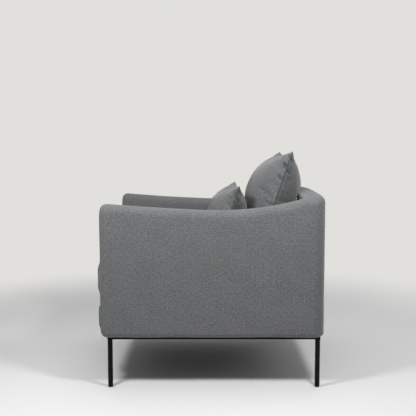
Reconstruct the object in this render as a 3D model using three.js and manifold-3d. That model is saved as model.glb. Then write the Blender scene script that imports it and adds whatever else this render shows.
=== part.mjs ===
// Upholstered armchair on a black steel base, as separate pieces.
// Millimetres, +Z up. The sitter faces -Y, and the sitter's left arm is at +X.
// The origin is on the floor, within 6 mm of the middle of the chair's outer box.
import * as THREE from "three";
import { mergeVertices } from "three/addons/utils/BufferGeometryUtils.js";
import Module from "manifold-3d";

const wasm = await Module();
wasm.setup();

// ---------------------------------------------------------------- driving dimensions

const GAP = 0.3; // between pieces that touch
const HALF_WIDTH = 363; // over the arms
const BACK_OUTER = 425; // outside of the back

const SHELL = {
  bottom: 188,
  front: -390, // front of the arms
  armThick: 80,
  backThick: 73,
  cornerRadius: 50, // outside, in plan
  innerCornerRadius: 6,
  topRadius: 30,
  bottomRadius: 28,
  endRadius: 24, // front end of an arm, in side view
  endSideRadius: 14, // front end of an arm, in plan
  seam: 323, // x of the seam between side and back
};
const ARM_TOP = { front: 675, dip: 650, dipY: 20, corner: 706, frontPower: 1.4, rearPower: 2.3 };
const RIM_CROWN = 10; // how much the back's top rises from its corners to its middle
const ARM_INNER = HALF_WIDTH - SHELL.armThick;
const BACK_INNER = BACK_OUTER - SHELL.backThick;
const SLOT_PLAY = 0.4; // round a panel or zip that lies in a slot

const PLY = { thick: 18, armX: 323, backY: 385, below: 27, bottom: 190, front: -368, rear: 398 };
const PLY_HALF = PLY.thick / 2;

const RAIL = { thick: 30, bottom: 190, top: 288, frontY: -372 };
const RAIL_OUTER_X = PLY.armX - PLY_HALF - GAP;
const RAIL_INNER_X = RAIL_OUTER_X - RAIL.thick;
const FRONT_RAIL_BACK = RAIL.frontY + RAIL.thick;
const REAR_RAIL_BACK = PLY.backY - PLY_HALF - GAP;
const REAR_RAIL_FRONT = REAR_RAIL_BACK - RAIL.thick;

const WEB = { wide: 60, thick: 2.5, wave: 1.6, middle: 291, seat: 18, spaceX: 150, spaceY: 180 };
const DECK = { bottom: 295.4, top: 311, front: -385 };
const FOAM_FOOT = 300.5; // underside of the inner arm and back foam

const STEEL = { wide: 18, high: 8, x: 333, frontY: -358, rearY: 401 };
const STEEL_BOTTOM = SHELL.bottom - GAP - STEEL.high;
const LEG = { radius: 9, wall: 2, foot: 5, stem: 16 };
const APRON = { front: -407, footRadius: 22, topRadius: 15 };
const TAB = { long: 80, wide: 40, thick: 4 };
const BOLT = { x: 262, inset: 21.5, radius: 4, headRadius: 6.5, head: 5, top: 222 };
const BLOCK = { leg: 70, top: 246 };
const INSERT = { radius: 6, bore: 4.4, top: 212 };

const SEAT = {
  bottom: 312, top: 463, halfWidth: 281, front: -414, rear: BACK_INNER - 1.5, edge: 20, zipHalf: 230,
};
const CASING = 6; // thickness that a cushion's cover takes up
const FILL_GAP = 6; // between a cover and what fills it
const ZIP = { wide: 8, thick: 2, sliderLong: 14, sliderDeep: 3, sliderEnd: 12 };

const BACK_CUSHION = {
  halfWidth: 225, halfHeight: 208, front: 101, rear: 86, dip: 16, lean: 18, y: 252.3, z: 663.4,
  zipHalf: 140,
};
const LUMBAR = {
  halfWidth: 215, halfHeight: 137, front: 74, rear: 56, dip: 9, lean: 18.7, y: 71, z: 597.5,
  zipHalf: 125,
};

// ---------------------------------------------------------------- materials

const finish = (color, roughness, metalness = 0) =>
  new THREE.MeshStandardMaterial({ color, roughness, metalness });
const MATERIAL = {
  fabric: finish(0x6e7173, 0.95),
  foam: finish(0xe9e2c8, 0.9),
  fibre: finish(0xf2f1ec, 1),
  steel: finish(0x161617, 0.45, 0.6),
  zinc: finish(0xb9bdc0, 0.35, 1),
  plastic: finish(0x101011, 0.6),
  plywood: finish(0xd2b48a, 0.7),
  beech: finish(0xc79a68, 0.65),
  webbing: finish(0x2d2f31, 0.85),
  dustCloth: finish(0x1c1c1e, 1),
  zipTape: finish(0x3a3c3e, 0.8),
};

// ---------------------------------------------------------------- solids

const chair = new THREE.Group();

function toSolid(geometry) {
  const bare = geometry.clone();
  bare.deleteAttribute("normal");
  bare.deleteAttribute("uv");
  const merged = mergeVertices(bare, 1e-3);
  return new wasm.Manifold(
    new wasm.Mesh({
      numProp: 3,
      vertProperties: new Float32Array(merged.attributes.position.array),
      triVerts: new Uint32Array(merged.index.array),
    }),
  );
}

function toGeometry(solid) {
  const { vertProperties, triVerts } = solid.getMesh();
  return new THREE.BufferGeometry()
    .setAttribute("position", new THREE.BufferAttribute(vertProperties, 3))
    .setIndex(new THREE.BufferAttribute(triVerts, 1));
}

function add(name, geometry, material, parent = chair) {
  const mesh = new THREE.Mesh(geometry, material);
  mesh.name = name;
  parent.add(mesh);
  return mesh;
}

// A box between two corners.
function box(low, high) {
  const size = high.map((v, i) => v - low[i]);
  const middle = high.map((v, i) => (v + low[i]) / 2);
  return new THREE.BoxGeometry(...size).translate(...middle);
}

// A profile of [radius, z] points turned about the Z axis.
function turned(points, segments = 16) {
  const outline = points.map(([r, z]) => new THREE.Vector2(r, z));
  return new THREE.LatheGeometry(outline, segments).rotateX(Math.PI / 2);
}

// A shape drawn in Y and Z, made thick along X about x.
function slabAlongX(shape, thick, x) {
  return new THREE.ExtrudeGeometry(shape, { depth: thick, bevelEnabled: false, curveSegments: 5 })
    .rotateX(Math.PI / 2)
    .rotateZ(Math.PI / 2)
    .translate(x - thick / 2, 0, 0);
}

// A shape drawn in X and Z, made thick along Y about y.
function slabAlongY(shape, thick, y) {
  return new THREE.ExtrudeGeometry(shape, { depth: thick, bevelEnabled: false })
    .rotateX(Math.PI / 2)
    .translate(0, y + thick / 2, 0);
}

const polygon = (points) => new THREE.Shape(points.map(([a, b]) => new THREE.Vector2(a, b)));
const steps = (count) => Array.from({ length: count + 1 }, (_, i) => i / count);

// How far a quarter-round edge of radius r has drawn in at distance d from the end.
const roundIn = (r, d) => (d >= r ? 0 : r - Math.sqrt(r * r - (r - d) ** 2));

// ---------------------------------------------------------------- shell

// Height of the shell's top at y along an arm.
function armTop(y) {
  const { front, dip, dipY, corner, frontPower, rearPower } = ARM_TOP;
  const rimY = (BACK_OUTER + BACK_INNER) / 2;
  if (y < dipY) return dip + (front - dip) * ((dipY - y) / (dipY - SHELL.front)) ** frontPower;
  return dip + (corner - dip) * Math.min(1, (y - dipY) / (rimY - dipY)) ** rearPower;
}

// Height of the shell's top at x along the back.
const rimTop = (x) => ARM_TOP.corner + RIM_CROWN * (1 - Math.min(1, (x / SHELL.seam) ** 2));

// One ring of the shell: a round-cornered upright section from an outer to an inner plan point.
function shellRing({ outer, inner, top, fromEnd = Infinity }) {
  const side = roundIn(SHELL.endSideRadius, fromEnd);
  const end = roundIn(SHELL.endRadius, fromEnd);
  const along = new THREE.Vector2().subVectors(inner, outer);
  const wide = along.length() - 2 * side;
  along.normalize();
  const [low, high] = [SHELL.bottom + end, top - end];
  const crown = Math.min(SHELL.topRadius, wide / 2 - 1);
  const foot = SHELL.bottomRadius;
  const section = [];
  const arc = (q, z, r, from, to, parts) => {
    for (const t of steps(parts)) {
      const a = THREE.MathUtils.degToRad(from + (to - from) * t);
      section.push([q + r * Math.cos(a), z + r * Math.sin(a)]);
    }
  };
  arc(foot, low + foot, foot, 270, 180, 4);
  arc(crown, high - crown, crown, 180, 90, 4);
  arc(wide - crown, high - crown, crown, 90, 0, 4);
  section.push([wide, low]);
  return section.map(([q, z]) => [
    outer.x + along.x * (q + side),
    outer.y + along.y * (q + side),
    z,
  ]);
}

// Plan stations of the left half, from the arm's front end to the middle of the back.
function shellStations() {
  const stations = [];
  const armStation = (y, fromEnd) =>
    stations.push({
      outer: new THREE.Vector2(HALF_WIDTH, y),
      inner: new THREE.Vector2(ARM_INNER, y),
      top: armTop(y),
      fromEnd,
    });
  for (const d of [0, 2, 6, 14, 24]) armStation(SHELL.front + d, d);
  const [first, last] = [SHELL.front + 60, BACK_INNER - 20]; // the arm between its rounded ends
  for (const t of steps(11)) armStation(first + (last - first) * t);
  const { cornerRadius: R, innerCornerRadius: r } = SHELL;
  for (const t of steps(6)) {
    const a = (t * Math.PI) / 2;
    const top = THREE.MathUtils.lerp(armTop(last), ARM_TOP.corner, Math.min(1, 0.5 + t));
    stations.push({
      outer: new THREE.Vector2(
        HALF_WIDTH - R + R * Math.cos(a),
        BACK_OUTER - R + R * Math.sin(a),
      ),
      inner: new THREE.Vector2(ARM_INNER - r + r * Math.cos(a), BACK_INNER - r + r * Math.sin(a)),
      top,
    });
  }
  for (const x of [250, 165, 80, 0]) {
    stations.push({
      outer: new THREE.Vector2(x, BACK_OUTER),
      inner: new THREE.Vector2(x, BACK_INNER),
      top: rimTop(x),
    });
  }
  return stations;
}

// Closes a row of equal rings into one solid, with a fan at each end.
function skin(rings) {
  const count = rings[0].length;
  const triangles = [];
  const at = (i, j) => i * count + (j % count);
  for (let i = 0; i + 1 < rings.length; i++) {
    for (let j = 0; j < count; j++) {
      triangles.push(at(i, j), at(i + 1, j), at(i, j + 1));
      triangles.push(at(i, j + 1), at(i + 1, j), at(i + 1, j + 1));
    }
  }
  for (let j = 1; j + 1 < count; j++) {
    triangles.push(at(0, 0), at(0, j), at(0, j + 1));
    triangles.push(at(rings.length - 1, 0), at(rings.length - 1, j + 1), at(rings.length - 1, j));
  }
  return new THREE.BufferGeometry()
    .setAttribute("position", new THREE.Float32BufferAttribute(rings.flat(2), 3))
    .setIndex(triangles);
}

function shellSolid() {
  const half = shellStations();
  const mirrored = half.slice(0, -1).reverse().map((s) => ({
    ...s,
    outer: new THREE.Vector2(-s.outer.x, s.outer.y),
    inner: new THREE.Vector2(-s.inner.x, s.inner.y),
  }));
  return toSolid(skin([...half, ...mirrored].map(shellRing)));
}

// Outline of an arm's plywood panel in Y and Z. grow widens it into the slot that holds it.
function armPanelShape(grow = 0) {
  const [front, rear] = [PLY.front - grow, PLY.rear + grow];
  const bottom = grow ? SHELL.bottom - 10 : PLY.bottom;
  const chamfer = 30;
  const top = (y) => armTop(y) - PLY.below + grow;
  const edge = steps(10).map((t) => THREE.MathUtils.lerp(front + chamfer, rear, t));
  return polygon([
    [front, bottom],
    [rear, bottom],
    ...edge.reverse().map((y) => [y, top(y)]),
    [front, top(front) - chamfer],
  ]);
}

// Outline of the back's plywood panel in X and Z.
function backPanelShape(grow = 0) {
  const half = PLY.armX - PLY_HALF - GAP;
  const bottom = grow ? SHELL.bottom - 10 : PLY.bottom;
  const edge = steps(6).map((t) => THREE.MathUtils.lerp(-half, half, t));
  return polygon([
    [-half, bottom],
    [half, bottom],
    ...edge.reverse().map((x) => [x, rimTop(x) - PLY.below + grow]),
  ]);
}

// The padded shell: foam and cover over the plywood, in two sides and a back.
function addShell() {
  const play = SLOT_PLAY;
  const panelSlots = [1, -1].map((s) =>
    toSolid(slabAlongX(armPanelShape(play), PLY.thick + 2 * play, s * PLY.armX)),
  );
  const backSlot = toSolid(slabAlongY(backPanelShape(play), PLY.thick + 2 * play, PLY.backY));
  const well = toSolid(
    box(
      [-RAIL_OUTER_X - play, RAIL.frontY - play, 0],
      [RAIL_OUTER_X + play, PLY.backY - PLY_HALF, FOAM_FOOT],
    ),
  );
  let shell = shellSolid();
  for (const tool of [...panelSlots, backSlot, well]) shell = shell.subtract(tool);
  const reach = 2000;
  for (const [name, s] of [["left", 1], ["right", -1]]) {
    const arm = box([ARM_INNER - 10, -reach, 0], [reach, BACK_INNER, reach]);
    const corner = box([SHELL.seam + GAP / 2, 0, 0], [reach, reach, reach]);
    const side = toSolid(arm).add(toSolid(corner)).scale([s, 1, 1]);
    add(`side_pad_${name}`, toGeometry(shell.intersect(side)), MATERIAL.fabric);
  }
  const back = box(
    [-SHELL.seam + GAP / 2, BACK_INNER + GAP, 0],
    [SHELL.seam - GAP / 2, reach, reach],
  );
  add("back_pad", toGeometry(shell.intersect(toSolid(back))), MATERIAL.fabric);
}

// ---------------------------------------------------------------- wooden frame

function addPlywood() {
  for (const [name, s] of [["left", 1], ["right", -1]]) {
    const panel = slabAlongX(armPanelShape(), PLY.thick, s * PLY.armX);
    add(`arm_panel_${name}`, panel, MATERIAL.plywood);
  }
  add("back_panel", slabAlongY(backPanelShape(), PLY.thick, PLY.backY), MATERIAL.plywood);
}

function addSeatFrame() {
  const { bottom, top, frontY } = RAIL;
  const [outer, inner] = [RAIL_OUTER_X, RAIL_INNER_X];
  const wood = MATERIAL.beech;
  add("seat_rail_front", box([-outer, frontY, bottom], [outer, FRONT_RAIL_BACK, top]), wood);
  add(
    "seat_rail_rear",
    box([-outer, REAR_RAIL_FRONT, bottom], [outer, REAR_RAIL_BACK, top]),
    wood,
  );
  for (const [name, s] of [["left", 1], ["right", -1]]) {
    const [a, b] = [s * inner, s * outer].sort((m, n) => m - n);
    const [y0, y1] = [FRONT_RAIL_BACK + GAP, REAR_RAIL_FRONT - GAP];
    add(`seat_rail_${name}`, box([a, y0, bottom], [b, y1, top]), wood);
  }
}

// The four corners of the seat frame, with the signs that point into each.
const CORNERS = [
  { name: "front_left", sx: 1, sy: -1, faceY: FRONT_RAIL_BACK, legY: STEEL.frontY },
  { name: "front_right", sx: -1, sy: -1, faceY: FRONT_RAIL_BACK, legY: STEEL.frontY },
  { name: "rear_left", sx: 1, sy: 1, faceY: REAR_RAIL_FRONT, legY: STEEL.rearY },
  { name: "rear_right", sx: -1, sy: 1, faceY: REAR_RAIL_FRONT, legY: STEEL.rearY },
].map((c) => ({ ...c, boltX: c.sx * BOLT.x, boltY: c.faceY - c.sy * BOLT.inset }));

function addCornerBlock({ name, sx, sy, faceY, boltX, boltY }) {
  const [x, y] = [sx * (RAIL_INNER_X - GAP), faceY - sy * GAP];
  const triangle = polygon([
    [x, y],
    [x - sx * BLOCK.leg, y],
    [x, y - sy * BLOCK.leg],
  ]);
  const depth = BLOCK.top - RAIL.bottom;
  const block = new THREE.ExtrudeGeometry(triangle, { depth, bevelEnabled: false });
  const boreRadius = INSERT.radius + GAP;
  const bore = new THREE.CylinderGeometry(boreRadius, boreRadius, 3 * depth, 16)
    .rotateX(Math.PI / 2)
    .translate(boltX, boltY, RAIL.bottom);
  const solid = toSolid(block.translate(0, 0, RAIL.bottom)).subtract(toSolid(bore));
  add(`corner_block_${name}`, toGeometry(solid), MATERIAL.beech);
}

// ---------------------------------------------------------------- webbing, deck and dust cover

// Heights of a strap's middle line: on its rail at both ends, over or under at each crossing.
function strapShape(halfLength, crossings, firstOver) {
  const onRail = RAIL.top + GAP + WEB.thick / 2;
  const flat = WEB.wide / 2 + 4;
  const line = [
    [-halfLength, onRail],
    [-halfLength + WEB.seat, onRail],
  ];
  crossings.forEach((c, i) => {
    const over = i % 2 === 0 ? firstOver : !firstOver;
    const z = WEB.middle + (over ? WEB.wave : -WEB.wave);
    line.push([c - flat, z], [c + flat, z]);
  });
  line.push([halfLength - WEB.seat, onRail], [halfLength, onRail]);
  const h = WEB.thick / 2;
  return polygon([
    ...line.map(([a, z]) => [a, z - h]),
    ...line.reverse().map(([a, z]) => [a, z + h]),
  ]);
}

function addWebbing() {
  const middleY = (FRONT_RAIL_BACK + REAR_RAIL_FRONT) / 2;
  const halfY = (REAR_RAIL_FRONT - FRONT_RAIL_BACK) / 2 + WEB.seat;
  const halfX = RAIL_INNER_X + WEB.seat;
  const acrossX = [-1, 0, 1].map((i) => i * WEB.spaceX);
  const acrossY = [-1, 0, 1].map((i) => i * WEB.spaceY);
  acrossX.forEach((x, i) => {
    const strap = slabAlongX(strapShape(halfY, acrossY, i % 2 === 0), WEB.wide, x);
    add(`webbing_long_${i + 1}`, strap.translate(0, middleY, 0), MATERIAL.webbing);
  });
  acrossY.forEach((y, i) => {
    const strap = slabAlongY(strapShape(halfX, acrossX, i % 2 === 1), WEB.wide, middleY + y);
    add(`webbing_cross_${i + 1}`, strap, MATERIAL.webbing);
  });
}

function addDeck() {
  const half = ARM_INNER - GAP;
  const rear = BACK_INNER - SHELL.innerCornerRadius - GAP;
  const deck = box([-half, DECK.front, DECK.bottom], [half, rear, DECK.top]);
  add("deck_pad", deck, MATERIAL.fabric);
}

// The padded front rail between the arms, a little proud of them.
function addApron() {
  const { front, footRadius, topRadius } = APRON;
  const rear = RAIL.frontY - GAP;
  const [bottom, top] = [SHELL.bottom + 1, DECK.bottom - 1];
  const shape = new THREE.Shape();
  shape.moveTo(rear, bottom);
  shape.lineTo(rear, top);
  shape.lineTo(front + topRadius, top);
  shape.absarc(front + topRadius, top - topRadius, topRadius, Math.PI / 2, Math.PI);
  shape.absarc(front + footRadius, bottom + footRadius, footRadius, Math.PI, 1.5 * Math.PI);
  const wide = 2 * (ARM_INNER - GAP);
  add("front_apron", slabAlongX(shape, wide, 0), MATERIAL.fabric);
}

function addDustCover() {
  const [low, high] = [SHELL.bottom + GAP, RAIL.bottom - GAP];
  let cloth = toSolid(
    box([-RAIL_OUTER_X, RAIL.frontY, low], [RAIL_OUTER_X, REAR_RAIL_BACK, high]),
  );
  const holeRadius = BOLT.radius + 1;
  for (const { boltX, boltY } of CORNERS) {
    const hole = new THREE.CylinderGeometry(holeRadius, holeRadius, 20, 12);
    cloth = cloth.subtract(toSolid(hole.rotateX(Math.PI / 2).translate(boltX, boltY, low)));
  }
  add("dust_cover", toGeometry(cloth), MATERIAL.dustCloth);
}

// ---------------------------------------------------------------- steel base

function addSteelBase() {
  const [low, high] = [STEEL_BOTTOM, STEEL_BOTTOM + STEEL.high];
  const half = STEEL.wide / 2;
  for (const [name, s] of [["left", 1], ["right", -1]]) {
    const rail = box(
      [s * STEEL.x - half, STEEL.frontY - LEG.radius, low],
      [s * STEEL.x + half, STEEL.rearY + LEG.radius, high],
    );
    add(`base_rail_${name}`, rail, MATERIAL.steel);
  }
  const reach = STEEL.x - half - GAP;
  for (const [name, y] of [["front", STEEL.frontY], ["rear", STEEL.rearY]]) {
    const [y0, y1] = [y - LEG.radius, y + LEG.radius];
    add(`base_rail_${name}`, box([-reach, y0, low], [reach, y1, high]), MATERIAL.steel);
  }
}

// A round tube leg with a plastic glide plugged into its foot.
function addLeg({ name, sx, legY }) {
  const { radius, wall, foot } = LEG;
  const top = STEEL_BOTTOM - GAP;
  const tube = turned([
    [radius - wall, foot],
    [radius, foot],
    [radius, top],
    [radius - wall, top],
    [radius - wall, foot],
  ]);
  add(`leg_${name}`, tube, MATERIAL.steel).position.set(sx * STEEL.x, legY, 0);
  const stem = radius - wall - GAP;
  const glide = turned([
    [0, 0],
    [radius - 2.5, 0],
    [radius - 0.8, 1],
    [radius - 0.3, 2.5],
    [radius - 0.3, foot - GAP],
    [stem, foot - GAP],
    [stem, foot + LEG.stem],
    [0, foot + LEG.stem],
  ]);
  add(`glide_${name}`, glide, MATERIAL.plastic).position.set(sx * STEEL.x, legY, 0);
}

function addTab({ name, sx, boltX, boltY }) {
  const outer = STEEL.x - STEEL.wide / 2 - GAP;
  const [a, b] = [sx * (outer - TAB.long), sx * outer].sort((m, n) => m - n);
  const high = STEEL_BOTTOM + STEEL.high;
  const plate = toSolid(
    box([a, boltY - TAB.wide / 2, high - TAB.thick], [b, boltY + TAB.wide / 2, high]),
  );
  const holeRadius = BOLT.radius + 0.5;
  const hole = new THREE.CylinderGeometry(holeRadius, holeRadius, 20, 16)
    .rotateX(Math.PI / 2)
    .translate(boltX, boltY, high);
  add(`base_tab_${name}`, toGeometry(plate.subtract(toSolid(hole))), MATERIAL.steel);
}

// A socket-head bolt from below, and the threaded insert that it turns into.
function addBolt({ name, boltX, boltY }) {
  const { radius, headRadius, head, top } = BOLT;
  const seat = STEEL_BOTTOM + STEEL.high - TAB.thick - GAP;
  const blank = turned([
    [0, seat - head],
    [headRadius, seat - head],
    [headRadius, seat],
    [radius, seat],
    [radius, top - 1.5],
    [radius - 1.5, top],
    [0, top],
  ]);
  const socket = new THREE.CylinderGeometry(3.4, 3.4, 6, 6)
    .rotateX(Math.PI / 2)
    .translate(0, 0, seat - head);
  const bolt = toGeometry(toSolid(blank).subtract(toSolid(socket)));
  add(`base_bolt_${name}`, bolt, MATERIAL.zinc).position.set(boltX, boltY, 0);
  const insert = turned([
    [INSERT.bore, RAIL.bottom + GAP],
    [INSERT.radius, RAIL.bottom + GAP],
    [INSERT.radius, INSERT.top],
    [INSERT.bore, INSERT.top],
    [INSERT.bore, RAIL.bottom + GAP],
  ]);
  add(`insert_${name}`, insert, MATERIAL.zinc).position.set(boltX, boltY, 0);
}

// ---------------------------------------------------------------- seat cushion

// A box with its four long edges and both ends rounded, made from rings along Y.
function softBox(halfX, y0, y1, z0, z1, edge) {
  const rings = [];
  const ends = [0, 0.12, 0.4, 1].map((t) => t * edge);
  const stations = [...ends.map((d) => [y0 + d, d]), ...ends.reverse().map((d) => [y1 - d, d])];
  for (const [y, d] of stations) {
    const e = roundIn(edge, d);
    const r = Math.max(edge - e, 4);
    const ring = [];
    const corner = (x, z, from) => {
      for (const t of steps(4)) {
        const a = THREE.MathUtils.degToRad(from + 90 * t);
        ring.push([x + r * Math.cos(a), y, z + r * Math.sin(a)]);
      }
    };
    corner(halfX - e - r, z0 + e + r, 270);
    corner(halfX - e - r, z1 - e - r, 0);
    corner(-halfX + e + r, z1 - e - r, 90);
    corner(-halfX + e + r, z0 + e + r, 180);
    rings.push(ring);
  }
  return toSolid(skin(rings));
}

// Slider of a zip, lying along X, with its pull folded flat against it.
function zipSlider(long, deep, high) {
  const body = toSolid(box([-long / 2, -deep / 2, -high / 2], [long / 2, deep / 2, high / 2]));
  const waist = toSolid(box([long / 2 - 5, -deep, -1], [long / 2 + 1, deep, 1]));
  return toGeometry(body.subtract(waist));
}

function addSeatCushion() {
  const { halfWidth, front, rear, bottom, top, edge, zipHalf } = SEAT;
  const inset = (d) =>
    softBox(halfWidth - d, front + d, rear - d, bottom + d, top - d, d ? edge - 4 : edge);
  const zipZ = (bottom + top) / 2;
  const slotHalf = ZIP.wide / 2 + SLOT_PLAY;
  const slot = box(
    [-zipHalf - SLOT_PLAY, rear - 2 * CASING, zipZ - slotHalf],
    [zipHalf + SLOT_PLAY, rear + CASING, zipZ + slotHalf],
  );
  const cover = inset(0).subtract(inset(CASING)).subtract(toSolid(slot));
  add("seat_cushion_cover", toGeometry(cover), MATERIAL.fabric);
  add("seat_cushion_core", toGeometry(inset(CASING + FILL_GAP)), MATERIAL.foam);
  const tapeInner = rear - CASING + GAP;
  add(
    "seat_cushion_zip",
    box(
      [-zipHalf, tapeInner, zipZ - ZIP.wide / 2],
      [zipHalf, tapeInner + ZIP.thick, zipZ + ZIP.wide / 2],
    ),
    MATERIAL.zipTape,
  );
  const sliderX = zipHalf - ZIP.sliderEnd;
  const sliderY = tapeInner + ZIP.thick + GAP + ZIP.sliderDeep / 2;
  const slider = zipSlider(ZIP.sliderLong, ZIP.sliderDeep, ZIP.wide - 1);
  add("seat_zip_slider", slider, MATERIAL.zinc).position.set(sliderX, sliderY, zipZ);
}

// ---------------------------------------------------------------- loose cushions

// A knife-edge cushion in its own frame: X across, Z up, its front towards -Y.
// Its sides draw in between the corners, and it thins to nothing at the seam.
function knifeEdge({ halfWidth, halfHeight, front, rear, dip }, inset = 0, columns = 12, rows = 10) {
  const [w, h] = [halfWidth - 3 * inset, halfHeight - 3 * inset];
  const fullness = (t) => 1 - Math.abs(t) ** 2.6;
  const drawnIn = (t) => 1 - t ** 4;
  const spread = (i, n) => Math.sin(Math.PI * (i / n - 0.5));
  const positions = [];
  for (const thick of [-(front - inset), rear - inset]) {
    for (let j = 0; j <= rows; j++) {
      for (let i = 0; i <= columns; i++) {
        const [u, v] = [spread(i, columns), spread(j, rows)];
        positions.push(
          u * (w - dip * drawnIn(v)),
          thick * fullness(u) * fullness(v),
          v * (h - dip * drawnIn(u)),
        );
      }
    }
  }
  const layer = (columns + 1) * (rows + 1);
  const triangles = [];
  for (let j = 0; j < rows; j++) {
    for (let i = 0; i < columns; i++) {
      const [a, b] = [j * (columns + 1) + i, j * (columns + 1) + i + 1];
      const [c, d] = [a + columns + 1, b + columns + 1];
      const sameSign = i < columns / 2 === j < rows / 2;
      const front = sameSign ? [a, b, d, a, d, c] : [a, b, c, b, d, c];
      triangles.push(...front);
      const [p, q, r, s, t, x] = front.map((k) => k + layer);
      triangles.push(p, r, q, s, x, t);
    }
  }
  return new THREE.BufferGeometry()
    .setAttribute("position", new THREE.Float32BufferAttribute(positions, 3))
    .setIndex(triangles);
}

// Cover, filled inner, zip in the bottom seam and slider of one loose cushion.
function addLooseCushion(name, size) {
  const frame = new THREE.Group();
  frame.position.set(0, size.y, size.z);
  frame.rotation.x = -THREE.MathUtils.degToRad(size.lean);
  chair.add(frame);
  const edge = -size.halfHeight + size.dip; // bottom seam, in the middle
  const tapeHalf = 1.5;
  const tapeDeep = 10;
  const slot = box(
    [-size.zipHalf - SLOT_PLAY, -tapeHalf - SLOT_PLAY, edge - 2 * tapeDeep],
    [size.zipHalf + SLOT_PLAY, tapeHalf + SLOT_PLAY, edge + 3.4 * tapeDeep],
  );
  const cover = toSolid(knifeEdge(size))
    .subtract(toSolid(knifeEdge(size, CASING, 8, 8)))
    .subtract(toSolid(slot));
  add(`${name}_cover`, toGeometry(cover), MATERIAL.fabric, frame);
  add(`${name}_fill`, knifeEdge(size, CASING + FILL_GAP, 8, 8), MATERIAL.fibre, frame);
  add(
    `${name}_zip`,
    box([-size.zipHalf, -tapeHalf, edge + 2], [size.zipHalf, tapeHalf, edge + 2 + tapeDeep]),
    MATERIAL.zipTape,
    frame,
  );
  const slider = zipSlider(ZIP.sliderLong, ZIP.sliderDeep, 5);
  add(`${name}_zip_slider`, slider, MATERIAL.zinc, frame).position.set(
    size.zipHalf - ZIP.sliderEnd,
    0,
    edge - 1,
  );
}

// ---------------------------------------------------------------- the chair

addSteelBase();
for (const corner of CORNERS) {
  addLeg(corner);
  addTab(corner);
  addBolt(corner);
  addCornerBlock(corner);
}
addDustCover();
addPlywood();
addSeatFrame();
addWebbing();
addShell();
addApron();
addDeck();
addSeatCushion();
addLooseCushion("back_cushion", BACK_CUSHION);
addLooseCushion("lumbar_pillow", LUMBAR);

export default chair;
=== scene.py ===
"""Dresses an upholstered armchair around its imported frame: shell, cushions, steel base and studio.

The sitter faces -Y and the sitter's left arm is at +X. Everything is in metres, with +Z up and the
floor at 0.
"""

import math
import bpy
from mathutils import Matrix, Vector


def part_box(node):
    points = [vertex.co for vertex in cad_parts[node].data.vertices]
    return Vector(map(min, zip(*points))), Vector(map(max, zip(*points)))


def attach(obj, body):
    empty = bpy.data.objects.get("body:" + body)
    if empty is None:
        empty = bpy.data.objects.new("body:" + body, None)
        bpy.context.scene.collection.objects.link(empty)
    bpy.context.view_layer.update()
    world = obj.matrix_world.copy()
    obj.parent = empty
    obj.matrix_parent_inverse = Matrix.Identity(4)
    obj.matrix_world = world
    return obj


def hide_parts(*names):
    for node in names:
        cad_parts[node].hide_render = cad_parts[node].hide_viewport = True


bl_info = {
    "name": "Upholstered Armchair",
    "version": (1, 0, 0),
    "blender": (4, 5, 0),
    "location": "View3D > Sidebar > Armchair",
    "description": "Builds the padded shell, cushions, base and studio of an upholstered armchair",
    "category": "Add Mesh",
}

import bmesh
import bpy
import numpy as np
from mathutils import Matrix, Vector, noise

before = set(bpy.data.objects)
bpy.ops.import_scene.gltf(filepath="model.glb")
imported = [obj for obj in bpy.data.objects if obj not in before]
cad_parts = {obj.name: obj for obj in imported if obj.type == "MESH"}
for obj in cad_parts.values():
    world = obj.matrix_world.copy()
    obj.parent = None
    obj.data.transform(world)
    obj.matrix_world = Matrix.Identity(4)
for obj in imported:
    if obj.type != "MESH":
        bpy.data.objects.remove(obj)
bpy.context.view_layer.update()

MM = 0.001
SIDES = {"left": 1, "right": -1}
CORNERS = ("front_left", "front_right", "rear_left", "rear_right")
RAILS = ("left", "right", "front", "rear")
CLOTH_MAP = "cloth"  # each face corner's place on the flat cloth, in metres
PAINTED_SHADE = "seam_depth_and_painted_shade"  # painted shade on the cloth: 1 at the bottom of a sewn seam, where cloth lies double, and in folds
# Painted shade in seams: the dark grey that the cloth's colour is darkened towards, its width and its
# most
PAINTED_SEAM_SHADE = {"colour": "#2E2F30", "width": 2.4 * MM, "most": 0.85}


# ---------------------------------------------------------------- sizes and colours


def linear(hex_colour):
    """An sRGB hex colour as linear red, green, blue and alpha."""
    channels = [int(hex_colour[i : i + 2], 16) / 255 for i in (1, 3, 5)]
    curve = [c / 12.92 if c <= 0.04045 else ((c + 0.055) / 1.055) ** 2.4 for c in channels]
    return (*curve, 1.0)


def length(label, text, default):
    return bpy.props.FloatProperty(
        name=label, description=text, default=default, unit="LENGTH", subtype="DISTANCE"
    )


def colour(label, text, hex_colour):
    return bpy.props.FloatVectorProperty(
        name=label, description=text, default=linear(hex_colour), size=4, subtype="COLOR"
    )


class ArmchairSizes(bpy.types.PropertyGroup):
    """Sizes of the soft parts that the frame doesn't give."""

    thread: length("Weave repeat", "Size of one repeat of the weave as it is drawn", 9.2 * MM)
    seam_depth_and_painted_shade: length("Seam depth", "How far a sewn seam draws in", 4 * MM)
    slack: length("Slack", "How far the stretched cover wanders from flat", 1.1 * MM)
    edge_radius: length("Edge radius", "Rounding of the padded shell's top edges", 30 * MM)


class ArmchairColours(bpy.types.PropertyGroup):
    """Base colours of the finishes."""

    yarn_dark: colour("Dark yarn", "Darker yarn of the heathered cloth", "#525354")
    yarn_light: colour("Light yarn", "Lighter yarn of the heathered cloth", "#777879")
    steel: colour("Powder coat", "Paint on the steel base", "#060607")
    floor: colour("Floor", "Studio floor", "#EDEDEE")
    backdrop: colour("Backdrop", "Even background behind the armchair", "#E1E0DD")


def sizes():
    return bpy.context.scene.armchair_sizes


def colours():
    return bpy.context.scene.armchair_colours


# ---------------------------------------------------------------- materials


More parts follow.
